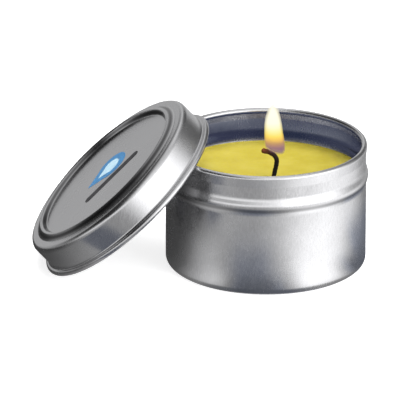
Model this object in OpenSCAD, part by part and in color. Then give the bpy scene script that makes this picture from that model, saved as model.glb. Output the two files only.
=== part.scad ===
// Poured candle in a slip-lid tin, open and in use, with the lid leaning on the rim.
// Millimetres, +Z up. The origin is on the tin's axis, on the surface it stands on.
// The lid leans towards -X.

/* [Tin] */
// Outside diameter of the straight wall
tin_d = 65; // [64:0.1:65.2]
// Height from the foot ring to the top of the rim
tin_h = 41; // [40.9:0.1:41.2]
// Thickness of the tinplate, tin and lid alike
sheet = 0.25; // [0.22:0.01:0.28]
// Outside radius between the wall and the base
corner_r = 2.5; // [2:0.1:3]
// How far the base panel stands above the foot ring
base_rise = 0.8; // [0.5:0.1:1]
// Radius where the base panel steps down to the foot ring
foot_r = 27.5; // [26.5:0.1:28]
// Height of the bead's middle above the foot ring
bead_z = 30.5; // [30:0.1:31]
// Outside diameter over the bead
bead_d = 66.4; // [66.2:0.1:66.5]
// Half the height of the bead
bead_half = 2.6; // [2.4:0.1:2.8]
// Outside diameter of the neck above the bead
neck_d = 64.8; // [64.6:0.1:64.9]
// Outside diameter over the rolled rim
rim_d = 65.5; // [65.4:0.05:65.6]
// Outside radius of the rim's roll
rim_roll = 1; // [0.9:0.05:1.05]

/* [Lid] */
// Outside diameter of the skirt
skirt_d = 66.8; // [66.7:0.1:67]
// Outside diameter over the curled hem
hem_d = 70.4; // [70.3:0.05:70.5]
// Outside radius of the hem's curl
hem_roll = 0.95; // [0.9:0.01:0.98]
// Height of the flat ring's top above the middle of the hem
ring_z = 10.1; // [9.8:0.1:10.3]
// Height of the raised ring above the flat one
crest_h = 1.5; // [1.2:0.1:1.7]
// Radius of the raised ring's crest
crest_r = 27.2; // [27:0.1:27.4]
// Radius where the raised ring meets the flat one
ring_r = 29.8; // [29.5:0.1:30]
// Radius of the recessed panel
panel_r = 26; // [25.7:0.1:26.2]
// How far the panel lies below the flat ring
panel_drop = 0.1; // [0:0.05:0.3]
// Angle at which the lid leans
lean = 42; // [41.8:0.1:42.2]
// Distance from the tin's axis to the middle of the hem
lid_x = 45; // [45:0.1:45.6]

/* [Candle] */
// Height of the wax surface
wax_z = 29; // [28:0.1:29.2]
// Diameter of the wick
wick_d = 1.5; // [1.4:0.05:1.6]
// Where the wick stands, across the lean
wick_x = 2.4; // [1.5:0.1:3]
// Where the wick stands, along the lean's pivot
wick_y = -2.2; // [-3:0.1:0]
// Length of wick above the wax before it bends
wick_stem = 7.2; // [6.8:0.1:7.4]
// Angle at which the stem leans away from the lid
wick_tilt = 9; // [7:1:11]
// Radius of the wick's bend
wick_bend = 2.2; // [2:0.1:2.4]
// Length of wick past the bend
wick_end = 2.8; // [2.4:0.1:3]
// Diameter of the sustainer's disc
sustainer_d = 15; // [14:0.5:16]
// Height of the sustainer's neck
sustainer_h = 6; // [5:0.5:7]

/* [Print] */
// Width of the printed drop
drop_d = 12; // [10:0.5:12.5]
// Length of the printed bar
bar_l = 23.5; // [20:0.5:24]
// Height of the printed bar
bar_h = 3; // [2:0.1:3.4]
// Turn of the print on the panel
print_turn = 11; // [0:1:20]

/* [Hidden] */
$fn = 96;

half = sheet / 2;
gap = 0.03;
ink = 0.06;
sticker_h = 0.4;
sticker_d = 12;
crimp_r = 0.7;
floor_z = base_rise + sheet;
disc_z = floor_z + sticker_h + gap;

wall_r = tin_d / 2 - half;
bead_bend = 3.5;
bead_slope = atan((bead_d - tin_d) / 2 / bead_half);
bead_r = bead_d / 2 - half + bead_bend * (1 / cos(bead_slope) - 1);
neck_r = neck_d / 2 - half;
rim_r = rim_d / 2 - rim_roll;
rim_z = tin_h - rim_roll;
rim_flare = 7;
meniscus_h = 0.4;
meniscus_w = 1.4;
knee_depth = 1.2;
knee_z = wax_z - knee_depth;
char_loss = 0.1;

hem_r = hem_d / 2 - hem_roll;
skirt_r = skirt_d / 2 - half;
cove_r = 0.8;
shoulder_r = 1.7;
crest_trim = 0.25;
panel_z = ring_z - panel_drop;
lid_z = hem_r * sin(lean) + hem_roll;

drop_tip = drop_d * 0.88;
drop_at = [3, 2.5];
light_d = drop_d * 0.56;
light_tip = light_d * 0.88;
light_at = drop_at - [drop_d * 0.02, 0];
light_rim = 0.1;
bar_at = [0.6, -6];

// A formed sheet is a list of stations along its middle surface: [point, left-hand normal].
function unit(v) = v / norm(v);
function left(v) = [-v[1], v[0]];
function start(a, b) = [[a, left(unit(b - a))]];

// Stations of the arc that rounds the corner at b, on the way from a to c.
function bend(a, b, c, r) =
    let (u = unit(a - b),
         v = unit(c - b),
         corner = acos(u * v) / 2,
         side = sign(u[1] * v[0] - u[0] * v[1]),
         centre = b + unit(u + v) * r / sin(corner),
         first = b + u * r / tan(corner) - centre,
         a0 = atan2(first[1], first[0]))
    roll(centre, r, a0, a0 + side * (180 - 2 * corner));

// Stations along an arc from angle a0 to angle a1.
function roll(centre, r, a0, a1) =
    let (steps = max(2, ceil(abs(a1 - a0) / 15)),
         side = sign(a1 - a0))
    [for (i = [0:steps])
        let (a = a0 + (a1 - a0) * i / steps,
             out = [cos(a), sin(a)])
        [centre + r * out, -side * out]];

// Points beside the stations, on their left for a positive distance.
function beside(stations, d) = [for (s = stations) s[0] + d * s[1]];
function reversed(list) = [for (i = [len(list) - 1:-1:0]) list[i]];

// Middle surface of the tin, from the centre of the base to the end of the rim's roll.
function tin_path() =
    let (base_z = base_rise + half,
         p0 = [0, base_z],
         p1 = [foot_r - 1.2, base_z],
         p2 = [foot_r, half],
         p3 = [wall_r, half],
         p4 = [wall_r, bead_z - bead_half],
         p5 = [bead_r, bead_z],
         p6 = [neck_r, bead_z + bead_half],
         mid = rim_roll - half,
         rim_start = [rim_r + mid * cos(rim_flare), rim_z - mid * sin(rim_flare)],
         p7 = [neck_r, rim_start[1] - (rim_start[0] - neck_r) / tan(rim_flare)])
    concat(start(p0, p1),
           bend(p0, p1, p2, 0.6),
           bend(p1, p2, p3, 0.6),
           bend(p2, p3, p4, corner_r - half),
           bend(p3, p4, p5, 5),
           bend(p4, p5, p6, bead_bend),
           bend(p5, p6, p7, 5),
           bend(p6, p7, rim_start, 3),
           roll([rim_r, rim_z], mid, -rim_flare, 275));

// Middle surface of the lid, from the centre of the panel to the end of the hem's curl.
// Height 0 is the middle of the curl. crest_trim is the height the crest loses to its rounding.
function lid_path() =
    let (mid = hem_roll - half,
         p0 = [0, panel_z - half],
         p1 = [panel_r, panel_z - half],
         p2 = [crest_r, ring_z + crest_h - half + crest_trim],
         p3 = [ring_r, ring_z - half],
         p4 = [skirt_r, ring_z - half],
         p5 = [skirt_r, mid],
         p6 = [hem_r, mid])
    concat(start(p0, p1),
           bend(p0, p1, p2, 0.6),
           bend(p1, p2, p3, 0.7),
           bend(p2, p3, p4, 0.8),
           bend(p3, p4, p5, shoulder_r),
           bend(p4, p5, p6, cove_r),
           roll([hem_r, 0], mid, 90, -180));

// Middle surface of the sustainer, from the disc's edge to the top of its neck.
function sustainer_path() =
    let (neck = wick_d / 2 + gap + half,
         p0 = [sustainer_d / 2, half],
         p1 = [neck, half],
         p2 = [neck, sustainer_h])
    concat(start(p0, p1), bend(p0, p1, p2, crimp_r), [[p2, left([0, 1])]]);

// A sheet of the set thickness, turned about Z along its stations.
module turned_sheet(stations) {
    rotate_extrude()
        polygon(concat(beside(stations, half), reversed(beside(stations, -half))));
}

module tin_body() {
    color("silver")
        turned_sheet(tin_path());
}

// The wax fills the inside of the tin, and the air above its surface is cut away.
module wax_fill() {
    inside = [for (p = beside(tin_path(), half + gap)) if (p[1] < bead_z && p[0] > 0) p];
    edge = wall_r - half - gap;
    neck_hole = wick_d + 4 * gap + 2 * sheet;
    surface = [for (a = [0:15:90]) [edge - meniscus_w * (1 - sin(a)), wax_z + meniscus_h * (1 - cos(a))]];
    color([0.86, 0.8, 0.33])
        difference() {
            rotate_extrude()
                polygon(concat([[0, floor_z + gap]], inside, [[0, bead_z]]));
            rotate_extrude()
                polygon(concat([[0, wax_z]], surface, [[tin_d, wax_z + meniscus_h], [tin_d, tin_h], [0, tin_h]]));
            translate([wick_x, wick_y, 0]) {
                cylinder(d = sticker_d + 2 * gap, h = disc_z);
                cylinder(d = sustainer_d + 2 * gap, h = disc_z + sheet + gap);
                cylinder(d = neck_hole + 2 * crimp_r, h = disc_z + sheet + crimp_r);
                cylinder(d = neck_hole, h = disc_z + sustainer_h + gap);
                cylinder(d = wick_d + 2 * gap, h = tin_h);
                translate([0, 0, knee_z - wick_d])
                    cylinder(d = wick_d * 1.5, h = tin_h);
            }
        }
}

// A length of wick that turns through an angle about the Y axis, then carries on.
module wick_arc(r, angle) {
    translate([-r, 0, 0]) {
        rotate([90, 0, 0])
            rotate_extrude(angle = angle)
                translate([r, 0])
                    circle(d = wick_d);
        rotate([0, -angle, 0])
            translate([r, 0, 0])
                children();
    }
}

// The stem's last straight length is charred, a little thinner, and ends in a bead of ash.
module wick() {
    foot_z = disc_z + gap;
    stem = wick_stem + knee_depth;
    color([0.12, 0.1, 0.09])
        translate([wick_x, wick_y, 0]) {
            translate([0, 0, foot_z])
                cylinder(d = wick_d, h = knee_z - foot_z);
            translate([0, 0, knee_z])
                rotate([0, wick_tilt, 0]) {
                    sphere(d = wick_d * 1.1);
                    cylinder(d = wick_d, h = stem);
                    translate([0, 0, stem])
                        wick_arc(wick_bend, 90 + wick_tilt) {
                            translate([0, 0, -char_loss])
                                cylinder(d = wick_d - char_loss, h = wick_end + char_loss);
                            translate([0, 0, wick_end])
                                sphere(d = wick_d * 1.15);
                        }
                }
        }
}

module wick_sustainer() {
    color("gainsboro")
        translate([wick_x, wick_y, disc_z])
            turned_sheet(sustainer_path());
}

module wick_sticker() {
    color("white")
        translate([wick_x, wick_y, floor_z + gap / 2])
            cylinder(d = sticker_d, h = sticker_h);
}

// Puts a piece made in the lid's own axes where the lid leans.
module leaning() {
    translate([-lid_x, 0, lid_z])
        rotate([0, -lean, 0])
            children();
}

module lid() {
    color("silver")
        leaning()
            turned_sheet(lid_path());
}

// Puts a flat shape on the lid's panel as a layer of ink.
module printed() {
    leaning()
        translate([0, 0, panel_z])
            rotate([0, 0, print_turn])
                linear_extrude(ink)
                    children();
}

// A drop that points to -X: a circle and the two straight sides that meet at its tip.
// The sides start a little inside the circle, so that they cross it rather than touch it.
module drop_shape(d, tip) {
    turn = acos(d / 2 / tip);
    inside = 0.48 * d;
    circle(d = d);
    polygon([[-tip, 0],
             [-inside * cos(turn), -inside * sin(turn)],
             [-inside * cos(turn), inside * sin(turn)]]);
}

module lid_drop() {
    color([0.2, 0.5, 0.72])
        printed()
            difference() {
                translate(drop_at)
                    drop_shape(drop_d, drop_tip);
                translate(light_at)
                    drop_shape(light_d + 2 * light_rim, light_tip + 2 * light_rim);
            }
}

module lid_drop_light() {
    color([0.75, 0.9, 0.97])
        printed()
            translate(light_at)
                drop_shape(light_d, light_tip);
}

module lid_bar() {
    color([0.1, 0.1, 0.1])
        printed()
            translate(bar_at) {
                square([bar_l - bar_h, bar_h], center = true);
                translate([(bar_l - bar_h) / 2, 0])
                    circle(d = bar_h);
                translate([-(bar_l - bar_h) / 2, 0])
                    circle(d = bar_h);
            }
}

tin_body();
wax_fill();
wick();
wick_sustainer();
wick_sticker();
lid();
lid_drop();
lid_drop_light();
lid_bar();
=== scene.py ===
"""Looks of a poured candle in a slip-lid tin, alight, with the lid leaning on the tin's rim.
The scene is in metres, +Z up. Shapes are worked out in millimetres and scaled by MM when meshed."""
import math

import bmesh
import bpy
import numpy as np
from mathutils import Matrix, Vector, noise


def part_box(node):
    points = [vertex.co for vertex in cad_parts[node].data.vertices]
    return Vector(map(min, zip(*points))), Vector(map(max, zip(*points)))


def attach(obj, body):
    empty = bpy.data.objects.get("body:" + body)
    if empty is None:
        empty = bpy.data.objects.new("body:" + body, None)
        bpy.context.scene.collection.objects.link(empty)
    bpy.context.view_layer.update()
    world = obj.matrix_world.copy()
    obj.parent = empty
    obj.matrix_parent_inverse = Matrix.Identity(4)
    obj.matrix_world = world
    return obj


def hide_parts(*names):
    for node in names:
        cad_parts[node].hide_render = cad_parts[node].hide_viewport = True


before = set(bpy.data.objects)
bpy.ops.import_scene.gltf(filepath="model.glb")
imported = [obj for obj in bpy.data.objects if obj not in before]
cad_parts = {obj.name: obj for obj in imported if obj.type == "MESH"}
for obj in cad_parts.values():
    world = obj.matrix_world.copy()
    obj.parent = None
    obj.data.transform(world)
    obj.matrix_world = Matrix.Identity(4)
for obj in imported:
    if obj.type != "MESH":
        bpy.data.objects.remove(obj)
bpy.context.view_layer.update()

# ---------------------------------------------------------------- sizes of the object, in millimetres
MM = 0.001
SHEET = 0.25
HALF = SHEET / 2
TIN_D, TIN_H = 65.0, 41.0
CORNER_R, BASE_RISE, FOOT_R, FOOT_STEP = 2.5, 0.8, 27.5, 1.2
BEAD_Z, BEAD_D, BEAD_HALF, BEAD_BEND = 30.5, 66.4, 2.6, 3.5
NECK_D, NECK_BEND = 64.8, 5.0
RIM_D, RIM_ROLL, RIM_BEND = 65.5, 1.0, 3.0
SKIRT_D, HEM_D, HEM_ROLL = 66.8, 70.4, 0.95
RING_Z, RING_R, CREST_H, CREST_R, CREST_TRIM = 10.1, 29.8, 1.5, 27.2, 0.25
PANEL_R, PANEL_DROP, COVE_R, SHOULDER_R = 26.0, 0.1, 0.8, 1.7
PANEL_BEND, CREST_BEND, RING_BEND = 0.6, 0.7, 0.8
LID_X = 45.0
WAX_Z, MENISCUS_H, MENISCUS_W = 29.0, 0.4, 1.4
WICK_D, WICK_X, WICK_Y = 1.5, 2.4, -2.2
GAP = 0.03

# Angles: the rim's flare and the end of its roll in degrees, the lid's lean in radians.
RIM_FLARE, RIM_END = 7.0, 275
LEAN = math.radians(42)

WALL_R = TIN_D / 2 - HALF
HEM_R = HEM_D / 2 - HEM_ROLL
PANEL_Z = RING_Z - PANEL_DROP
LID_Z = HEM_R * math.sin(LEAN) + HEM_ROLL
LEANING = Matrix.Translation((-LID_X * MM, 0, LID_Z * MM)) @ Matrix.Rotation(-LEAN, 4, "Y")

# Fineness: sides of a turned shape, and how far apart its stations are on a bend (degrees) and between bends.
SEGMENTS, ARC_STEP, STRAIGHT_STEP = 288, 5.0, 3.0


# ---------------------------------------------------------------- formed sheets
# A sheet is a list of stations along its middle surface, each with its point and its left-hand normal.

def unit(v):
    return v / np.linalg.norm(v)


def roll(centre, r, a0, a1):
    """Stations along an arc from angle a0 to angle a1, in degrees."""
    steps = max(2, math.ceil(abs(a1 - a0) / ARC_STEP))
    side = 1 if a1 > a0 else -1
    out = []
    for i in range(steps + 1):
        a = math.radians(a0 + (a1 - a0) * i / steps)
        n = np.array([math.cos(a), math.sin(a)])
        out.append((np.array(centre, float) + r * n, -side * n))
    return out


def bend(a, b, c, r):
    """Stations of the arc that rounds the corner at b, on the way from a to c."""
    u, v = unit(a - b), unit(c - b)
    corner = math.acos(float(u @ v)) / 2
    side = 1 if u[1] * v[0] - u[0] * v[1] > 0 else -1
    centre = b + unit(u + v) * r / math.sin(corner)
    first = b + u * r / math.tan(corner) - centre
    a0 = math.degrees(math.atan2(first[1], first[0]))
    return roll(centre, r, a0, a0 + side * (180 - 2 * math.degrees(corner)))


def bent(corners, bends):
    """Stations of a sheet that runs from corner to corner, with a bend at each one between its ends."""
    corners = [np.array(p, float) for p in corners]
    along = unit(corners[1] - corners[0])
    path = [(corners[0], np.array([-along[1], along[0]]))]
    for a, b, c, r in zip(corners, corners[1:], corners[2:], bends):
        path += bend(a, b, c, r)
    return path


def tin_path():
    """The tin, from the centre of its base to the end of the rim's roll."""
    base_z = BASE_RISE + HALF
    slope = math.atan((BEAD_D - TIN_D) / 2 / BEAD_HALF)
    bead_r = BEAD_D / 2 - HALF + BEAD_BEND * (1 / math.cos(slope) - 1)
    neck_r = NECK_D / 2 - HALF
    rim = (RIM_D / 2 - RIM_ROLL, TIN_H - RIM_ROLL)
    mid = RIM_ROLL - HALF
    flare = math.radians(RIM_FLARE)
    rim_start = (rim[0] + mid * math.cos(flare), rim[1] - mid * math.sin(flare))
    flare_z = rim_start[1] - (rim_start[0] - neck_r) / math.tan(flare)
    corners = [(0, base_z), (FOOT_R - FOOT_STEP, base_z), (FOOT_R, HALF), (WALL_R, HALF),
               (WALL_R, BEAD_Z - BEAD_HALF), (bead_r, BEAD_Z), (neck_r, BEAD_Z + BEAD_HALF),
               (neck_r, flare_z), rim_start]
    bends = [PANEL_BEND, PANEL_BEND, CORNER_R - HALF, NECK_BEND, BEAD_BEND, NECK_BEND, RIM_BEND]
    return bent(corners, bends) + roll(rim, mid, -RIM_FLARE, RIM_END)


def lid_path():
    """The lid, from the centre of its panel to the end of the hem's curl. Height 0 is the curl's middle."""
    mid = HEM_ROLL - HALF
    skirt_r = SKIRT_D / 2 - HALF
    corners = [(0, PANEL_Z - HALF), (PANEL_R, PANEL_Z - HALF),
               (CREST_R, RING_Z + CREST_H - HALF + CREST_TRIM), (RING_R, RING_Z - HALF),
               (skirt_r, RING_Z - HALF), (skirt_r, mid), (HEM_R, mid)]
    bends = [PANEL_BEND, CREST_BEND, RING_BEND, SHOULDER_R, COVE_R]
    return bent(corners, bends) + roll((HEM_R, 0), mid, 90, -180)


def spaced(path):
    """The same sheet with extra stations on its long straight lengths."""
    out = [path[0]]
    for (p, n), (q, m) in zip(path, path[1:]):
        extra = int(np.linalg.norm(q - p) / STRAIGHT_STEP)
        for i in range(1, extra + 1):
            t = i / (extra + 1)
            out.append((p + (q - p) * t, unit(n + (m - n) * t)))
        out.append((q, m))
    return out


def sheet_profile(path):
    """Both sides of a formed sheet, round its section."""
    near = [(p + HALF * n, n) for p, n in path]
    far = [(p - HALF * n, -n) for p, n in reversed(path)]
    return near + far


# ---------------------------------------------------------------- meshes
def new_object(name, mesh):
    obj = bpy.data.objects.new(name, mesh)
    bpy.context.scene.collection.objects.link(obj)
    return obj


def circle(sides):
    """The cosine and sine of each corner's angle."""
    angles = [2 * math.pi * i / sides for i in range(sides)]
    return [(math.cos(a), math.sin(a)) for a in angles]


def add_ring(verts, points):
    """Adds points to the vertices and returns their numbers."""
    first = len(verts)
    verts.extend(points)
    return list(range(first, len(verts)))


def skin(rings):
    """Faces from each ring to the next. A ring of one vertex is a pole."""
    faces = []
    for a, b in zip(rings, rings[1:]):
        around = max(len(a), len(b))
        for i in range(around):
            j = (i + 1) % around
            if len(a) == 1:
                faces.append((a[0], b[j], b[i]))
            elif len(b) == 1:
                faces.append((a[i], a[j], b[0]))
            else:
                faces.append((a[i], a[j], b[j], b[i]))
    return faces


def solid(name, verts, rings, normals=None, evened=False):
    """A closed, smooth-shaded object over rings of vertices, from one pole to the other.
    normals gives each vertex's exact normal. evened averages neighbours sideways, for a soft outline."""
    mesh = bpy.data.meshes.new(name)
    mesh.from_pydata([Vector(v) * MM for v in verts], [], skin(rings))
    bm = bmesh.new()
    bm.from_mesh(mesh)
    if evened:
        between_poles = [v for v in bm.verts if len(v.link_edges) == 4]
        bmesh.ops.smooth_vert(bm, verts=between_poles, factor=0.5,
                              use_axis_x=True, use_axis_y=True, use_axis_z=False)
    bmesh.ops.recalc_face_normals(bm, faces=bm.faces)
    bm.to_mesh(mesh)
    bm.free()
    for face in mesh.polygons:
        face.use_smooth = True
    if normals:
        mesh.normals_split_custom_set_from_vertices([Vector(n).normalized() for n in normals])
    return new_object(name, mesh)


def lathe(name, profile, moved=None):
    """A solid turned about Z from a profile of (point, normal) that starts and ends on the axis.
    moved(x, y, z) gives each vertex's shift, and then the normals come from the mesh."""
    verts, normals, rings = [], [], []
    all_turns = circle(SEGMENTS)
    for (r, z), (out, up) in profile:
        turns = all_turns if r > 0 else all_turns[:1]
        rings.append(add_ring(verts, [(r * c, r * s, z) for c, s in turns]))
        normals += [(out * c, out * s, up) for c, s in turns]
    if moved is None:
        return solid(name, verts, rings, normals)
    return solid(name, [np.array(v) + moved(*v) for v in verts], rings)


def finish_piece(obj, mat, body, slot, *nodes):
    """Gives a piece its material and body, and hides the CAD nodes that it stands in for."""
    obj.data.materials.clear()
    obj.data.materials.append(mat)
    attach(obj, body)
    if nodes:
        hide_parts(*nodes)


# ---------------------------------------------------------------- shader nodes
def grey(level):
    """A neutral grey, very slightly cool."""
    return (level, level, level * 1.01)


def blue(level):
    """The blue-grey of the darker parts of the studio."""
    return (level * 0.86, level * 0.93, level * 1.12)


def shader(name):
    mat = bpy.data.materials.new(name)
    mat.use_nodes = True
    nt = mat.node_tree
    return mat, nt, nt.nodes["Principled BSDF"]


def feed(nt, socket, value):
    """Links an output to a socket, or sets a plain colour or number on it."""
    if isinstance(value, bpy.types.NodeSocket):
        nt.links.new(value, socket)
    elif isinstance(value, tuple):
        socket.default_value = (*value, 1)
    else:
        socket.default_value = value


def coords(nt, scale=(1, 1, 1), turn=(0, 0, 0), shift=(0, 0, 0), kind="POINT"):
    """Place on the object. Kind TEXTURE gives it in axes that are turned and shifted."""
    tex = nt.nodes.new("ShaderNodeTexCoord")
    node = nt.nodes.new("ShaderNodeMapping")
    node.vector_type = kind
    node.inputs["Location"].default_value = shift
    node.inputs["Rotation"].default_value = turn
    node.inputs["Scale"].default_value = scale
    nt.links.new(tex.outputs["Object"], node.inputs["Vector"])
    return node.outputs["Vector"]


def split(nt, vector):
    """The X, Y and Z of a vector."""
    node = nt.nodes.new("ShaderNodeSeparateXYZ")
    nt.links.new(vector, node.inputs["Vector"])
    return node.outputs["X"], node.outputs["Y"], node.outputs["Z"]


def maths(nt, operation, a, b):
    node = nt.nodes.new("ShaderNodeMath")
    node.operation = operation
    feed(nt, node.inputs[0], a)
    feed(nt, node.inputs[1], b)
    return node.outputs[0]


def distance(nt, vector, centre):
    node = nt.nodes.new("ShaderNodeVectorMath")
    node.operation = "DISTANCE"
    node.inputs[1].default_value = centre
    nt.links.new(vector, node.inputs[0])
    return node.outputs["Value"]


def flat(nt, vector):
    """The vector without its height."""
    node = nt.nodes.new("ShaderNodeVectorMath")
    node.operation = "MULTIPLY"
    node.inputs[1].default_value = (1, 1, 0)
    nt.links.new(vector, node.inputs[0])
    return node.outputs["Vector"]


def axis_distance(nt, vector):
    """Distance from the Z axis."""
    return distance(nt, flat(nt, vector), (0, 0, 0))


def bearing(nt, x, y):
    """Angle round from the camera's side to the right, as 0 to 1 for -180 to 180 degrees."""
    angle = maths(nt, "ARCTAN2", x, maths(nt, "MULTIPLY", y, -1.0))
    return spread(nt, angle, -math.pi, math.pi, kind="LINEAR")


def mottle(nt, vector, scale, detail=3.0, rough=0.5):
    """Noise from 0 to 1, with scale in cells per metre."""
    node = nt.nodes.new("ShaderNodeTexNoise")
    node.inputs["Scale"].default_value = scale
    node.inputs["Detail"].default_value = detail
    node.inputs["Roughness"].default_value = rough
    nt.links.new(vector, node.inputs["Vector"])
    return node.outputs["Fac"]


def spread(nt, value, low, high, out_low=0.0, out_high=1.0, kind="SMOOTHSTEP"):
    """Goes from out_low to out_high while the value goes from low to high."""
    node = nt.nodes.new("ShaderNodeMapRange")
    node.interpolation_type = kind
    for key, v in zip(("From Min", "From Max", "To Min", "To Max"), (low, high, out_low, out_high)):
        node.inputs[key].default_value = v
    nt.links.new(value, node.inputs["Value"])
    return node.outputs["Result"]


def between(nt, value, low, high):
    """1 between low and high, falling softly to 0 at both."""
    soft = (high - low) * 0.45
    rise = spread(nt, value, low, low + soft)
    return maths(nt, "MULTIPLY", rise, spread(nt, value, high - soft, high, 1, 0))


def ramp(nt, value, stops):
    """A colour for each value, from stops of (value, colour)."""
    node = nt.nodes.new("ShaderNodeValToRGB")
    points = node.color_ramp.elements
    while len(points) > 1:
        points.remove(points[-1])
    points[0].position, points[0].color = stops[0][0], (*stops[0][1], 1)
    for at, colour in stops[1:]:
        points.new(at).color = (*colour, 1)
    nt.links.new(value, node.inputs["Fac"])
    return node.outputs["Color"]


def blend(nt, factor, a, b):
    """Colour a where the factor is 0, b where it is 1."""
    node = nt.nodes.new("ShaderNodeMix")
    node.data_type = "RGBA"
    feed(nt, node.inputs["Factor"], factor)
    feed(nt, node.inputs[6], a)
    feed(nt, node.inputs[7], b)
    return node.outputs[2]


def bump(nt, height, depth, below=None):
    """Surface relief of a depth in metres, on top of the relief below."""
    node = nt.nodes.new("ShaderNodeBump")
    node.inputs["Distance"].default_value = depth
    nt.links.new(height, node.inputs["Height"])
    if below is not None:
        nt.links.new(below, node.inputs["Normal"])
    return node.outputs["Normal"]


# ---------------------------------------------------------------- materials
# Heights of the band of painted shade under the bead and radii of the raised ring's slopes, which are painted
# darker, in millimetres, and the depths of the sheet's dents and grain in metres.
BEAD_SHADE_BAND = (28.2, 30.6)
RING_SLOPES = ((25.8, 27.0), (27.6, 29.7))
DENT_DEPTH, GRAIN_DEPTH = 0.00025, 0.000005


def bead_painted_shade(nt):
    """Painted shade in the crease under the tin's bead."""
    height = split(nt, coords(nt))[2]
    return between(nt, height, BEAD_SHADE_BAND[0] * MM, BEAD_SHADE_BAND[1] * MM)


def ring_slope_shade(nt):
    """Painted shade on the two slopes of the lid's raised ring, by their distance from the lid's axis."""
    own = coords(nt, turn=(0, -LEAN, 0), shift=LEANING.translation, kind="TEXTURE")
    out = axis_distance(nt, own)
    inner, outer = (between(nt, out, low * MM, high * MM) for low, high in RING_SLOPES)
    return maths(nt, "ADD", inner, outer)


def tinplate(name, turn=(0, 0, 0), rough=(0.19, 0.29), tone=1.0, shade_mask=None, shade_tone=0.0):
    """Satin tinplate: cloudy lustre, a fine rolled grain, and faint dents that bend the reflections.
    The last two arguments mark where shade is painted into the colour, and give the grey painted there."""
    mat, nt, bsdf = shader(name)
    at = coords(nt, turn=turn)
    clouds = mottle(nt, at, 90, 4)
    dents = mottle(nt, at, 38, 1)
    grain = mottle(nt, coords(nt, scale=(1, 1, 0.25), turn=turn), 2600, 3, 0.6)
    lustre = maths(nt, "ADD", maths(nt, "MULTIPLY", clouds, 0.5), maths(nt, "MULTIPLY", grain, 0.5))
    colour = ramp(nt, lustre, [(0.30, grey(0.66 * tone)), (0.70, grey(0.84 * tone))])
    # Painted shade: the colour gives way to a darker grey where the mask is 1.
    if shade_mask:
        colour = blend(nt, shade_mask(nt), colour, grey(shade_tone))
    nt.links.new(colour, bsdf.inputs["Base Color"])
    nt.links.new(spread(nt, lustre, 0.3, 0.7, *rough), bsdf.inputs["Roughness"])
    wave = bump(nt, dents, DENT_DEPTH)
    nt.links.new(bump(nt, grain, GRAIN_DEPTH, below=wave), bsdf.inputs["Normal"])
    bsdf.inputs["Metallic"].default_value = 1.0
    return mat


def wax_material():
    """Poured wax: slightly translucent, softly mottled, with a dull polish."""
    mat, nt, bsdf = shader("wax")
    at = coords(nt)
    clouds = mottle(nt, at, 130, 5, 0.6)
    flecks = mottle(nt, at, 900, 3, 0.6)
    shade = maths(nt, "ADD", maths(nt, "MULTIPLY", clouds, 0.7), maths(nt, "MULTIPLY", flecks, 0.3))
    tint = [(0.32, (0.47, 0.375, 0.034)), (0.50, (0.53, 0.440, 0.054)), (0.70, (0.59, 0.500, 0.088))]
    nt.links.new(ramp(nt, shade, tint), bsdf.inputs["Base Color"])
    nt.links.new(spread(nt, flecks, 0.3, 0.7, 0.38, 0.55), bsdf.inputs["Roughness"])
    nt.links.new(bump(nt, shade, 0.00006), bsdf.inputs["Normal"])
    bsdf.inputs["Subsurface Weight"].default_value = 0.25
    bsdf.inputs["Subsurface Radius"].default_value = (0.0022, 0.0016, 0.0005)
    bsdf.inputs["Subsurface Scale"].default_value = 1.0
    bsdf.inputs["Specular IOR Level"].default_value = 0.25
    return mat


# In metres: the distance from the glow that is 1 on the ember's ramp, and how far soot shifts it.
EMBER_REACH, SOOT_SHIFT = 0.010, 0.0022
EMBER = [(0.10, (0.30, 0.075, 0.022)), (0.22, (0.13, 0.038, 0.016)), (0.45, (0.040, 0.018, 0.011)),
         (0.80, (0.010, 0.009, 0.008))]


def wick_material(tip):
    """Braided cotton, black where it has burnt, with a red-brown glow left at its curled end."""
    mat, nt, bsdf = shader("charred_wick")
    at = coords(nt)
    soot = mottle(nt, at, 1800, 4, 0.6)
    away = maths(nt, "ADD", distance(nt, at, tip), maths(nt, "MULTIPLY", soot, SOOT_SHIFT))
    nt.links.new(ramp(nt, maths(nt, "DIVIDE", away, EMBER_REACH), EMBER), bsdf.inputs["Base Color"])
    nt.links.new(spread(nt, soot, 0.3, 0.7, 0.55, 0.9), bsdf.inputs["Roughness"])
    nt.links.new(bump(nt, soot, 0.00008), bsdf.inputs["Normal"])
    bsdf.inputs["Specular IOR Level"].default_value = 0.3
    return mat


def ink(name, dark, light):
    """Printing ink, with the faint unevenness of a pad print."""
    mat, nt, bsdf = shader(name)
    patch = mottle(nt, coords(nt), 700, 4, 0.6)
    nt.links.new(ramp(nt, patch, [(0.3, dark), (0.7, light)]), bsdf.inputs["Base Color"])
    nt.links.new(spread(nt, patch, 0.3, 0.7, 0.35, 0.5), bsdf.inputs["Roughness"])
    nt.links.new(bump(nt, patch, 0.00001), bsdf.inputs["Normal"])
    return mat


def foam(name):
    """White foam with open cells."""
    mat, nt, bsdf = shader(name)
    cells = mottle(nt, coords(nt), 2400, 3, 0.7)
    tint = [(0.3, (0.62, 0.62, 0.60)), (0.7, (0.80, 0.80, 0.78))]
    nt.links.new(ramp(nt, cells, tint), bsdf.inputs["Base Color"])
    nt.links.new(bump(nt, cells, 0.00005), bsdf.inputs["Normal"])
    bsdf.inputs["Roughness"].default_value = 0.85
    return mat


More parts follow.
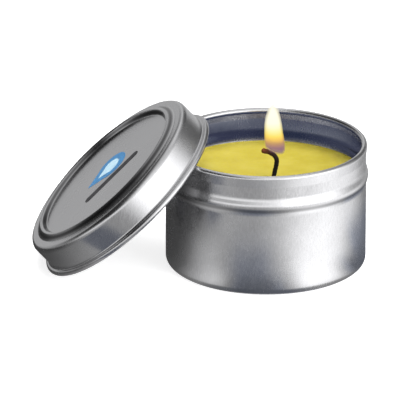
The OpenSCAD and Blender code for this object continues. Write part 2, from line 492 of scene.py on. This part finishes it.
def flame_material(name, glow, alphas, strength):
    """Glow that changes colour and density with height, from the mauve base to the pale tip."""
    mat, nt, bsdf = shader(name)
    height = spread(nt, split(nt, coords(nt))[2], FLAME_FOOT * MM, FLAME_TIP * MM, kind="LINEAR")
    density = [(at, (alpha, alpha, alpha)) for at, alpha in alphas]
    bsdf.inputs["Base Color"].default_value = (0, 0, 0, 1)
    bsdf.inputs["Specular IOR Level"].default_value = 0.0
    bsdf.inputs["Roughness"].default_value = 1.0
    bsdf.inputs["Emission Strength"].default_value = strength
    nt.links.new(ramp(nt, height, glow), bsdf.inputs["Emission Color"])
    nt.links.new(ramp(nt, height, density), bsdf.inputs["Alpha"])
    return mat


# ---------------------------------------------------------------- tin and lid
# The tin's tinplate has shade painted in the crease under its bead.
tin_steel = tinplate("tinplate_body", tone=1.04, shade_mask=bead_painted_shade, shade_tone=0.38)
# The lid's tinplate has shade painted on the slopes of its raised ring.
# The lid's tone is lower than the tin's: painted shade, a darker copy of the same tinplate so that the lid
# reflects darker.
lid_steel = tinplate("tinplate_lid", turn=(0, LEAN, 0), tone=0.90, shade_mask=ring_slope_shade, shade_tone=0.16)

tin = lathe("tin_shell", sheet_profile(spaced(tin_path())))
finish_piece(tin, tin_steel, "tin", "tinplate_body", "tin_body")
lid = lathe("lid_shell", sheet_profile(spaced(lid_path())))
lid.data.transform(LEANING)
finish_piece(lid, lid_steel, "lid", "tinplate_lid", "lid")


# ---------------------------------------------------------------- wax
# How far under the surface the wax's side starts, the spacing of the surface's rings, and the innermost one.
SIDE_TOP, SURFACE_STEP, SURFACE_END, MENISCUS_STEPS = 0.4, 0.45, 0.5, 12
# Height, length and noise plane of each ripple in the set surface, and how near the wall they fade.
RIPPLES, FADE = ((0.10, 9, 0), (0.035, 2.2, 7)), 4
# Height and width of the pool round the wick, and of the wax that climbs it.
POOL, CLIMB = (-0.30, 9), (0.45, 0.5)


def wax_profile():
    """The wax from the centre of its underside, along the tin's inside, to the middle of its surface."""
    up, outward = np.array([0.0, 1.0]), np.array([1.0, 0.0])
    side_z = WAX_Z - SIDE_TOP
    edge = WALL_R - HALF - GAP
    inside = [(p + (HALF + GAP) * n, -n) for p, n in tin_path()]
    inside = [(p, n) for p, n in inside if p[1] < side_z and p[0] > 0]
    bottom = [(np.array([0, BASE_RISE + SHEET + GAP]), -up)]
    top = [(np.array([edge, side_z]), outward)]
    for i in range(MENISCUS_STEPS + 1):
        a = math.radians(90 - 90 * i / MENISCUS_STEPS)
        r, z = edge - MENISCUS_W * (1 - math.sin(a)), WAX_Z + MENISCUS_H * (1 - math.cos(a))
        top.append((np.array([r, z]), up))
    for r in np.arange(edge - MENISCUS_W, SURFACE_END, -SURFACE_STEP):
        top.append((np.array([r, WAX_Z]), up))
    return bottom + inside + top + [(np.array([0, WAX_Z]), up)]


def wax_moved(x, y, z):
    """The set surface is a little uneven, and sinks into a shallow pool round the wick, which it climbs."""
    if z < WAX_Z - 0.1:
        return np.zeros(3)
    near = math.hypot(x - WICK_X, y - WICK_Y)
    ease = min(1.0, max(0.0, (WALL_R - math.hypot(x, y)) / FADE))
    ripple = sum(high * noise.noise(Vector((x, y, plane)) / long) for high, long, plane in RIPPLES)
    pool = POOL[0] * math.exp(-(near / POOL[1]) ** 2)
    climb = CLIMB[0] * math.exp(-max(0.0, near - WICK_D / 2) / CLIMB[1])
    return np.array([0, 0, ease * (ripple + pool) + climb])


wax = lathe("wax_pour", wax_profile(), moved=wax_moved)
wax.visible_glossy = False
finish_piece(wax, wax_material(), "tin", "wax", "wax_fill")


# ---------------------------------------------------------------- wick
# Middle line of the wick, X and Z in millimetres: up through the wax, then over to the curled tip.
WICK_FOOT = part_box("wick")[0].z / MM
WICK_ROUTE = [(WICK_X, WICK_FOOT), (WICK_X, 8), (WICK_X, 16), (WICK_X, 24), (WICK_X - 0.05, 28.2),
              (2.42, 30.2), (2.98, 32.9), (3.26, 34.7), (3.12, 36.0), (2.35, 37.15), (1.10, 37.95),
              (-0.40, 38.55), (-1.75, 38.75)]
WICK_SIDES, WICK_STEP, SPAN_STEPS = 40, 0.09, 40
# The glow is centred a little above the tip.
GLOW_RISE = 0.7
GLOW_AT = (WICK_ROUTE[-1][0] * MM, WICK_Y * MM, (WICK_ROUTE[-1][1] + GLOW_RISE) * MM)
# The strands' pitch in millimetres, and the core and the strands as shares of the radius.
BRAID_PITCH, CORE, STRAND = 3.4, 0.86, 0.09
# The swollen end and the blunt tip in millimetres, and the swelling as a share of the radius.
SWELL_LENGTH, BLUNT_LENGTH, SWELL = 2.2, 0.7, 0.16
# The cotton's fuzz as a share of the radius, and how fine it is round the wick and along it.
FUZZ, FUZZ_ROUND, FUZZ_ALONG = 0.10, 1.3, 1.1


def smooth_path(points):
    """A Catmull-Rom curve through the points, in even steps, and the distance along it at each step."""
    p = [np.array(q, float) for q in points]
    p = [2 * p[0] - p[1]] + p + [2 * p[-1] - p[-2]]
    fine = []
    for a, b, c, d in zip(p, p[1:], p[2:], p[3:]):
        for k in range(SPAN_STEPS):
            t = k / SPAN_STEPS
            fine.append(0.5 * (2 * b + (c - a) * t + (2 * a - 5 * b + 4 * c - d) * t * t
                               + (3 * b - a - 3 * c + d) * t ** 3))
    fine = np.array(fine + [p[-2]])
    along = np.concatenate([[0], np.cumsum(np.linalg.norm(np.diff(fine, axis=0), axis=1))])
    at = np.linspace(0, along[-1], int(along[-1] / WICK_STEP) + 1)
    return np.stack([np.interp(at, along, fine[:, k]) for k in range(3)], axis=1), at


def wick_radius(s, length, angle):
    """Radius of the braid: strands that cross, cotton fuzz, and a blunt, swollen end."""
    twist = 2 * math.pi * s / BRAID_PITCH
    strands = abs(math.sin(1.5 * (angle + twist))) + abs(math.sin(1.5 * (angle - twist)))
    r = WICK_D / 2 * (CORE + STRAND * strands)
    end = length - s
    if end < SWELL_LENGTH:
        r *= 1 + SWELL * math.sin(math.pi * (SWELL_LENGTH - end) / SWELL_LENGTH)
    if end < BLUNT_LENGTH:
        r *= math.sqrt(max(0.0, 1 - ((BLUNT_LENGTH - end) / BLUNT_LENGTH) ** 2))
    at = Vector((math.cos(angle) * FUZZ_ROUND, math.sin(angle) * FUZZ_ROUND, s * FUZZ_ALONG))
    return r * (1 + FUZZ * noise.noise(at))


def braid(name, points):
    """The wick as a closed solid along its middle line, with a pole at each end."""
    path, along = smooth_path(points)
    tangents = np.gradient(path, axis=0)
    tangents /= np.linalg.norm(tangents, axis=1)[:, None]
    side = np.array([0.0, 1.0, 0.0])
    verts, rings = [], []
    for p, t, s in zip(path, tangents, along):
        side = unit(side - (side @ t) * t)
        other = np.cross(t, side)
        ring = [p]
        if 0 < s < along[-1]:
            angles = [2 * math.pi * i / WICK_SIDES for i in range(WICK_SIDES)]
            ring = [p + wick_radius(s, along[-1], a) * (math.cos(a) * side + math.sin(a) * other)
                    for a in angles]
        rings.append(add_ring(verts, ring))
    return solid(name, verts, rings)


wick = braid("wick_braid", [(x, WICK_Y, z) for x, z in WICK_ROUTE])
finish_piece(wick, wick_material(GLOW_AT), "tin", "charred_wick", "wick")


# ---------------------------------------------------------------- flame
# Outline of the flame, in millimetres: height, middle and half width.
FLAME = [(37.3, 4.30, 0.0), (37.7, 4.10, 1.35), (38.5, 3.45, 2.45), (40.0, 2.78, 3.18), (42.5, 2.48, 3.22),
         (44.9, 2.24, 3.02), (47.7, 2.08, 2.84), (50.1, 2.00, 2.45), (52.9, 2.05, 1.70), (54.9, 1.92, 0.85),
         (56.2, 1.80, 0.0)]
FLAME_FOOT, FLAME_TIP = FLAME[0][0], FLAME[-1][0]
# FLAME_DEPTH is its depth as a share of its width.
FLAME_SIDES, FLAME_STEPS, FLAME_DEPTH = 48, 60, 0.85

# Colours by height, from 0 at the foot to 1 at the tip.
FLAME_GLOW = [(0.00, (0.19, 0.11, 0.24)), (0.08, (0.25, 0.14, 0.24)), (0.17, (0.36, 0.19, 0.20)),
              (0.24, (0.58, 0.33, 0.14)), (0.30, (0.88, 0.55, 0.12)), (0.37, (1.0, 0.74, 0.14)),
              (0.46, (1.0, 0.86, 0.34)), (0.60, (1.0, 0.95, 0.70)), (1.0, (1.0, 0.95, 0.76))]
FLAME_HEART = [(0.00, (0.36, 0.20, 0.22)), (0.22, (0.60, 0.34, 0.14)), (0.30, (0.95, 0.62, 0.14)),
               (0.36, (1.0, 0.82, 0.25)), (0.43, (1.0, 0.94, 0.58)), (0.50, (1.0, 1.0, 0.96)),
               (1.0, (1.0, 1.0, 0.97))]

# Each shell: share of the outline's width, foot and top, colours, density by height, strength.
SHELLS = [
    ("flame_veil", 1.00, FLAME_FOOT, FLAME_TIP, FLAME_GLOW,
     [(0.0, 0.16), (0.12, 0.36), (0.35, 0.36), (0.8, 0.26), (1.0, 0.03)], 1.0),
    ("flame_mantle", 0.91, 37.9, 55.2, FLAME_GLOW,
     [(0.0, 0.30), (0.15, 0.50), (0.35, 0.50), (0.9, 0.40), (1.0, 0.10)], 1.0),
    ("flame_body", 0.81, 38.7, 54.3, FLAME_GLOW,
     [(0.0, 0.30), (0.2, 0.55), (0.4, 0.60), (1.0, 0.42)], 1.1),
    ("flame_heart", 0.68, 41.2, 53.8, FLAME_HEART,
     [(0.0, 0.20), (0.2, 0.55), (0.5, 0.80), (1.0, 0.5)], 1.4),
    ("flame_core", 0.48, 43.0, 53.2, FLAME_HEART,
     [(0.0, 0.4), (0.4, 0.85), (1.0, 0.7)], 1.6),
]


def flame_shell(name, share, low, high):
    """A closed teardrop inside the flame's outline: share of its width, between two heights."""
    heights, middles, widths = zip(*FLAME)
    verts, rings = [], []
    for k in range(FLAME_STEPS + 1):
        t = 0.5 - 0.5 * math.cos(math.pi * k / FLAME_STEPS)
        at = FLAME_FOOT + (FLAME_TIP - FLAME_FOOT) * t
        x = np.interp(at, heights, middles)
        w = np.interp(at, heights, widths) * share
        level = low + (high - low) * t
        ring = [(x, WICK_Y, level)]
        if 0 < k < FLAME_STEPS:
            ring = [(x + w * c, WICK_Y + FLAME_DEPTH * w * s, level) for c, s in circle(FLAME_SIDES)]
        rings.append(add_ring(verts, ring))
    return solid(name, verts, rings, evened=True)


for name, share, low, high, glow, alphas, strength in SHELLS:
    shell = flame_shell(name, share, low, high)
    shell.visible_shadow = False
    finish_piece(shell, flame_material(name, glow, alphas, strength), "tin", "flame")


# ---------------------------------------------------------------- nodes kept from the CAD
KEPT = {
    "lid_drop": ink("print_blue", (0.035, 0.19, 0.42), (0.06, 0.27, 0.55)),
    "lid_drop_light": ink("print_light", (0.45, 0.70, 0.86), (0.62, 0.84, 0.94)),
    "lid_bar": ink("print_black", (0.010, 0.010, 0.012), (0.022, 0.022, 0.026)),
    "wick_sustainer": tinplate("sustainer_steel", rough=(0.3, 0.45)),
    "wick_sticker": foam("sticker_foam"),
}
for node, mat in KEPT.items():
    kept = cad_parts[node]
    kept.data.materials.clear()
    kept.data.materials.append(mat)


# ---------------------------------------------------------------- camera
# The camera aims beside a point on the tin's axis. VIEW_WIDTH is the width of the picture there, in metres.
AZIMUTH, ELEVATION, DISTANCE = math.radians(-4.2), math.radians(21), 2.0
AIM_Z, AIM_RIGHT, AIM_UP = 0.020, -0.02134, 0.00074
SENSOR, VIEW_WIDTH, VIEW_END = 36, 0.12964, 20

back = Vector((math.sin(AZIMUTH) * math.cos(ELEVATION), -math.cos(AZIMUTH) * math.cos(ELEVATION),
               math.sin(ELEVATION)))
right = Vector((math.cos(AZIMUTH), math.sin(AZIMUTH), 0))
up = back.cross(right)
target = Vector((0, 0, AIM_Z)) + right * AIM_RIGHT + up * AIM_UP
lens = bpy.data.cameras.new("camera")
lens.sensor_width = SENSOR
lens.lens = SENSOR * DISTANCE / VIEW_WIDTH
lens.clip_end = VIEW_END
camera = new_object("camera", lens)
facing = Matrix((right, up, back)).transposed().to_4x4()
camera.matrix_world = Matrix.Translation(target + back * DISTANCE) @ facing
bpy.context.scene.camera = camera


# ---------------------------------------------------------------- floor
floor_mesh = bpy.data.meshes.new("floor")
bm = bmesh.new()
bmesh.ops.create_grid(bm, x_segments=8, y_segments=8, size=6)
bm.to_mesh(floor_mesh)
bm.free()
floor = new_object("floor", floor_mesh)
mat, nt, bsdf = shader("pale_floor")
pale = [(0.3, (0.86, 0.86, 0.86)), (0.7, (0.88, 0.88, 0.88))]
nt.links.new(ramp(nt, mottle(nt, coords(nt), 40, 2), pale), bsdf.inputs["Base Color"])
bsdf.inputs["Roughness"].default_value = 0.9
bsdf.inputs["Specular IOR Level"].default_value = 0.1
bsdf.inputs["Emission Color"].default_value = (1, 1, 1, 1)
bsdf.inputs["Emission Strength"].default_value = 0.74
floor.data.materials.append(mat)
floor.visible_glossy = False


# ---------------------------------------------------------------- what the metal mirrors close by
def compass(nt, angle, stops, scale):
    """Colours at bearings in degrees, divided by scale so that they stay below 1."""
    return ramp(nt, angle, [((d + 180) / 360, tuple(c / scale for c in colour)) for d, colour in stops])


def glow_card(name, mesh):
    """An object that only reflections see. Returns its node tree and its emission node."""
    card = new_object(name, mesh)
    mat = bpy.data.materials.new(name)
    mat.use_nodes = True
    nt = mat.node_tree
    nt.nodes.remove(nt.nodes["Principled BSDF"])
    glow = nt.nodes.new("ShaderNodeEmission")
    nt.links.new(glow.outputs[0], nt.nodes["Material Output"].inputs["Surface"])
    mesh.materials.append(mat)
    card.visible_camera = False
    card.visible_diffuse = False
    card.visible_shadow = False
    card.visible_transmission = False
    card.visible_volume_scatter = False
    return nt, glow


def disc_mesh(name, inner, outer, level, rings=24, around=120, smallest=0.0001):
    """A flat ring, or a disc when inner is 0."""
    mesh = bpy.data.meshes.new(name)
    bm = bmesh.new()
    rows = []
    for k in range(rings + 1):
        r = max(inner + (outer - inner) * k / rings, smallest)
        rows.append([bm.verts.new((r * c, r * s, level)) for c, s in circle(around)])
    for a, b in zip(rows, rows[1:]):
        for i in range(around):
            j = (i + 1) % around
            bm.faces.new((a[i], b[i], b[j], a[j]))
    bm.to_mesh(mesh)
    bm.free()
    return mesh


# The floor by its distance from the tin's axis in metres. Each ring is a list of (degrees round from the
# camera to its right, colour): painted shadow round the tin's foot and under the lid, blue-grey in front
# and bright to the right.
FLOOR_SCALE = 1.45
FLOOR_RINGS = [
    (0.0330, [(-180, grey(0.30)), (-150, grey(0.22)), (-125, grey(0.04)), (-80, grey(0.08)),
              (-50, grey(0.22)), (-20, blue(0.10)), (10, blue(0.14)), (30, grey(0.30)), (50, grey(0.26)),
              (75, blue(0.12)), (125, blue(0.12)), (150, grey(0.22)), (180, grey(0.30))]),
    (0.0400, [(-180, grey(0.60)), (-166, grey(0.45)), (-150, grey(0.14)), (-130, grey(0.05)),
              (-95, grey(0.06)), (-77, grey(0.11)), (-68, grey(0.26)), (-60, grey(0.42)), (-52, grey(0.60)),
              (-43, grey(0.72)), (-36, grey(0.52)), (-31, grey(0.26)), (-25, blue(0.15)), (-19, blue(0.12)),
              (-7, blue(0.11)), (-1, blue(0.13)), (5, blue(0.22)), (11, grey(0.38)), (17, grey(0.78)),
              (22, grey(1.20)), (28, grey(1.38)), (42, grey(1.38)), (50, grey(1.12)), (57, grey(0.62)),
              (64, blue(0.28)), (70, blue(0.13)), (95, blue(0.15)), (125, blue(0.14)), (150, grey(0.42)),
              (180, grey(0.60))]),
    (0.0600, [(-180, grey(0.65)), (-166, grey(0.48)), (-150, grey(0.14)), (-130, grey(0.05)),
              (-97, grey(0.06)), (-88, grey(0.08)), (-78, grey(0.17)), (-70, grey(0.32)), (-62, grey(0.43)),
              (-54, grey(0.46)), (-47, grey(0.41)), (-40, grey(0.32)), (-27, blue(0.22)), (-14, blue(0.21)),
              (-7, blue(0.26)), (6, grey(0.48)), (13, grey(0.68)), (20, grey(0.94)), (27, grey(1.16)),
              (34, grey(1.30)), (42, grey(1.38)), (53, grey(1.32)), (62, grey(1.16)), (71, grey(0.90)),
              (78, grey(0.62)), (85, blue(0.40)), (92, blue(0.27)), (106, blue(0.24)), (125, blue(0.16)),
              (150, grey(0.45)), (180, grey(0.65))]),
    (0.0880, [(-180, grey(0.70)), (-166, grey(0.50)), (-150, grey(0.14)), (-130, grey(0.05)),
              (-95, grey(0.06)), (-83, grey(0.08)), (-73, grey(0.13)), (-64, grey(0.23)), (-55, grey(0.34)),
              (-47, grey(0.38)), (-31, grey(0.35)), (-23, grey(0.36)), (-15, grey(0.38)), (-8, grey(0.43)),
              (0, grey(0.52)), (7, grey(0.63)), (15, grey(0.78)), (23, grey(0.92)), (31, grey(1.05)),
              (39, grey(1.16)), (47, grey(1.24)), (60, grey(1.26)), (72, grey(1.16)), (82, grey(1.02)),
              (91, grey(0.86)), (100, grey(0.66)), (109, grey(0.48)), (118, grey(0.33)), (132, grey(0.22)),
              (155, grey(0.50)), (180, grey(0.70))]),
    (0.1280, [(-180, grey(0.75)), (-166, grey(0.55)), (-150, grey(0.16)), (-132, grey(0.06)),
              (-80, grey(0.05)), (-70, grey(0.12)), (-60, grey(0.34)), (-50, grey(0.42)), (-40, grey(0.38)),
              (-30, grey(0.35)), (-15, grey(0.37)), (0, grey(0.43)), (15, grey(0.55)), (30, grey(0.70)),
              (45, grey(0.90)), (60, grey(1.05)), (85, grey(1.05)), (102, grey(0.95)), (116, grey(0.55)),
              (135, grey(0.30)), (155, grey(0.55)), (180, grey(0.75))]),
]
FLOOR_INNER, FLOOR_OUTER, FLOOR_LEVEL = 0.0315, 0.150, 0.00005

# The disc just under the wax's surface, in metres: its radius, the X that is 0 and 1 on its ramps, and the
# radii over which the colours of the middle give way to those along the wall. It lies HEADSPACE_DROP
# millimetres under the surface.
HEADSPACE_R, HEADSPACE_HALF, HEADSPACE_BLEND, HEADSPACE_DROP = 0.0319, 0.032, (0.018, 0.030), 0.45
HEADSPACE_MIDDLE = [
    (0.10, (0.13, 0.14, 0.20)), (0.25, (0.050, 0.056, 0.105)), (0.42, (0.055, 0.062, 0.110)),
    (0.50, (0.085, 0.098, 0.150)), (0.57, (0.15, 0.165, 0.22)), (0.66, (0.30, 0.32, 0.38)),
    (1.0, (0.33, 0.35, 0.42))]
HEADSPACE_WALL = [
    (0.05, (0.24, 0.26, 0.32)), (0.22, (0.16, 0.18, 0.25)), (0.34, (0.045, 0.052, 0.100)),
    (0.50, (0.030, 0.036, 0.075)), (0.68, (0.022, 0.030, 0.065)), (0.80, (0.045, 0.052, 0.095)),
    (0.92, (0.060, 0.068, 0.110))]

# Corners of the dark patch in front of the lid's lowest quarter, in metres.
SHADE_X, SHADE_Y, SHADE_Z = (-0.070, -0.048), (-0.054, -0.0345), 0.012


def mirrored_floor():
    """The floor that reflections see."""
    disc = disc_mesh("mirrored_floor", FLOOR_INNER, FLOOR_OUTER, FLOOR_LEVEL)
    nt, glow = glow_card("mirrored_floor", disc)
    at = coords(nt)
    x, y, _ = split(nt, at)
    angle, out = bearing(nt, x, y), axis_distance(nt, at)
    colour = compass(nt, angle, FLOOR_RINGS[0][1], FLOOR_SCALE)
    for (r0, _), (r1, stops) in zip(FLOOR_RINGS, FLOOR_RINGS[1:]):
        colour = blend(nt, spread(nt, out, r0, r1), colour, compass(nt, angle, stops, FLOOR_SCALE))
    nt.links.new(colour, glow.inputs["Color"])
    glow.inputs["Strength"].default_value = FLOOR_SCALE


def mirrored_headspace():
    """The blue-grey that the tin's inner wall mirrors above the wax."""
    disc = disc_mesh("mirrored_headspace", 0, HEADSPACE_R, (WAX_Z - HEADSPACE_DROP) * MM)
    nt, glow = glow_card("mirrored_headspace", disc)
    at = coords(nt)
    across = spread(nt, split(nt, at)[0], -HEADSPACE_HALF, HEADSPACE_HALF, kind="LINEAR")
    near_wall = spread(nt, axis_distance(nt, at), *HEADSPACE_BLEND)
    middle, wall = ramp(nt, across, HEADSPACE_MIDDLE), ramp(nt, across, HEADSPACE_WALL)
    nt.links.new(blend(nt, near_wall, middle, wall), glow.inputs["Color"])


def mirrored_shade():
    """The dark patch that the lid's skirt mirrors."""
    (x0, x1), (y0, y1) = SHADE_X, SHADE_Y
    mesh = bpy.data.meshes.new("mirrored_shade")
    corners = [(x0, y0, SHADE_Z), (x1, y0, SHADE_Z), (x1, y1, SHADE_Z), (x0, y1, SHADE_Z)]
    mesh.from_pydata(corners, [], [(0, 1, 2, 3)])
    nt, glow = glow_card("mirrored_shade", mesh)
    patch = mottle(nt, coords(nt), 60, 2)
    tint = [(0.3, (0.12, 0.13, 0.16)), (0.7, (0.17, 0.18, 0.21))]
    nt.links.new(ramp(nt, patch, tint), glow.inputs["Color"])


mirrored_floor()
mirrored_headspace()
mirrored_shade()


# ---------------------------------------------------------------- light
def soft_light(name, place, aim, size, power):
    data = bpy.data.lights.new(name, "AREA")
    data.shape = "DISK"
    data.size = size
    data.energy = power
    lamp = new_object(name, data)
    place, aim = Vector(place), Vector(aim)
    facing = (place - aim).to_track_quat("Z", "Y").to_matrix().to_4x4()
    lamp.matrix_world = Matrix.Translation(place) @ facing
    lamp.visible_glossy = False


soft_light("overhead", (0.1, -0.1, 1.3), (0, 0, 0), 1.2, 16)
soft_light("front", (0.9, -1.2, 0.9), (0, 0, 0.02), 0.8, 8)


# ---------------------------------------------------------------- studio round the object
# The studio by the sine of the elevation. Each band is a list of (degrees round from the camera to its
# right, colour): dark to the left, bright to the right, and grey overhead.
SKY_SCALE = 2.0
LOW = [(-180, grey(0.70)), (-168, grey(0.50)), (-150, grey(0.16)), (-132, grey(0.07)), (-108, grey(0.07)),
       (-92, grey(0.12)), (-78, grey(0.30)), (-50, grey(0.38)), (-20, grey(0.34)), (0, grey(0.42)),
       (18, grey(0.85)), (42, grey(1.2)), (62, grey(1.3)), (88, grey(1.2)), (105, grey(0.85)),
       (123, grey(0.55)), (140, grey(0.42)), (160, grey(0.55)), (180, grey(0.70))]
BANDS = [
    (-0.97, [(-180, grey(0.9)), (-100, grey(1.1)), (-70, grey(0.9)), (-45, blue(0.2)), (0, blue(0.15)),
             (25, grey(0.8)), (60, grey(1.2)), (110, grey(0.8)), (180, grey(0.9))]),
    (-0.76, [(-180, grey(0.06)), (-110, grey(0.06)), (-75, grey(0.22)), (-40, grey(0.15)), (0, grey(0.17)),
             (20, grey(0.25)), (45, grey(0.9)), (70, grey(1.2)), (100, grey(0.9)), (130, blue(0.4)),
             (180, blue(0.10))]),
    (-0.54, LOW),
    (-0.18, LOW),
    (-0.02, [(-180, grey(0.45)), (-155, grey(0.54)), (-125, grey(0.30)), (-98, grey(0.25)),
             (-75, grey(0.80)), (-40, grey(0.95)), (-10, grey(0.90)), (8, grey(1.0)), (20, grey(1.6)),
             (62, grey(1.9)), (85, grey(0.9)), (110, grey(0.40)), (140, grey(0.24)), (155, grey(0.60)),
             (180, grey(0.45))]),
    (0.12, [(-180, grey(0.50)), (-155, grey(0.54)), (-125, grey(0.28)), (-98, grey(0.25)),
            (-75, grey(0.95)), (-40, grey(1.20)), (-10, grey(1.10)), (10, grey(1.1)), (22, grey(1.9)),
            (62, grey(1.9)), (88, grey(1.0)), (110, grey(0.25)), (135, grey(0.12)), (155, grey(0.36)),
            (180, grey(0.50))]),
    (0.22, [(-180, grey(0.60)), (-155, grey(0.38)), (-125, grey(0.10)), (-98, grey(0.06)),
            (-70, grey(0.40)), (-40, grey(0.75)), (-15, grey(1.0)), (10, grey(1.1)), (25, grey(1.9)),
            (65, grey(1.9)), (85, grey(1.2)), (102, grey(0.40)), (122, grey(0.16)), (150, grey(0.10)),
            (180, grey(0.60))]),
    (0.38, [(-180, grey(0.65)), (-165, grey(0.34)), (-140, grey(0.05)), (-110, grey(0.015)),
            (-38, grey(0.015)), (-18, grey(0.50)), (0, grey(0.90)), (25, grey(1.5)), (72, grey(1.9)),
            (88, grey(1.1)), (104, grey(0.34)), (122, grey(0.16)), (150, grey(0.08)), (166, grey(0.12)),
            (180, grey(0.65))]),
    (0.55, [(-180, grey(0.75)), (-166, grey(0.35)), (-145, grey(0.03)), (-40, grey(0.02)),
            (-18, grey(0.60)), (0, grey(1.0)), (40, grey(1.3)), (78, grey(1.1)), (105, grey(0.3)),
            (140, grey(0.10)), (164, grey(0.14)), (180, grey(0.75))]),
    (0.80, [(-180, grey(0.85)), (-155, grey(0.40)), (-120, grey(0.06)), (-60, grey(0.06)),
            (-28, grey(0.60)), (0, grey(1.0)), (40, grey(1.0)), (80, grey(0.70)), (115, grey(0.28)),
            (150, grey(0.40)), (180, grey(0.85))]),
    (0.93, [(-180, grey(0.85)), (-130, grey(0.45)), (-90, grey(0.30)), (-50, grey(0.45)), (0, grey(0.95)),
            (90, grey(0.65)), (180, grey(0.85))]),
    (0.98, [(-180, grey(0.70)), (180, grey(0.70))]),
]
world = bpy.data.worlds.new("studio")
bpy.context.scene.world = world
world.use_nodes = True
nt = world.node_tree
direction = nt.nodes.new("ShaderNodeTexCoord")
x, y, z = split(nt, direction.outputs["Generated"])
angle = bearing(nt, x, y)
sky = compass(nt, angle, BANDS[0][1], SKY_SCALE)
for (z0, _), (z1, stops) in zip(BANDS, BANDS[1:]):
    sky = blend(nt, spread(nt, z, z0, z1), sky, compass(nt, angle, stops, SKY_SCALE))
nt.links.new(sky, nt.nodes["Background"].inputs["Color"])
nt.nodes["Background"].inputs["Strength"].default_value = SKY_SCALE

bpy.context.scene.view_settings.view_transform = "Standard"
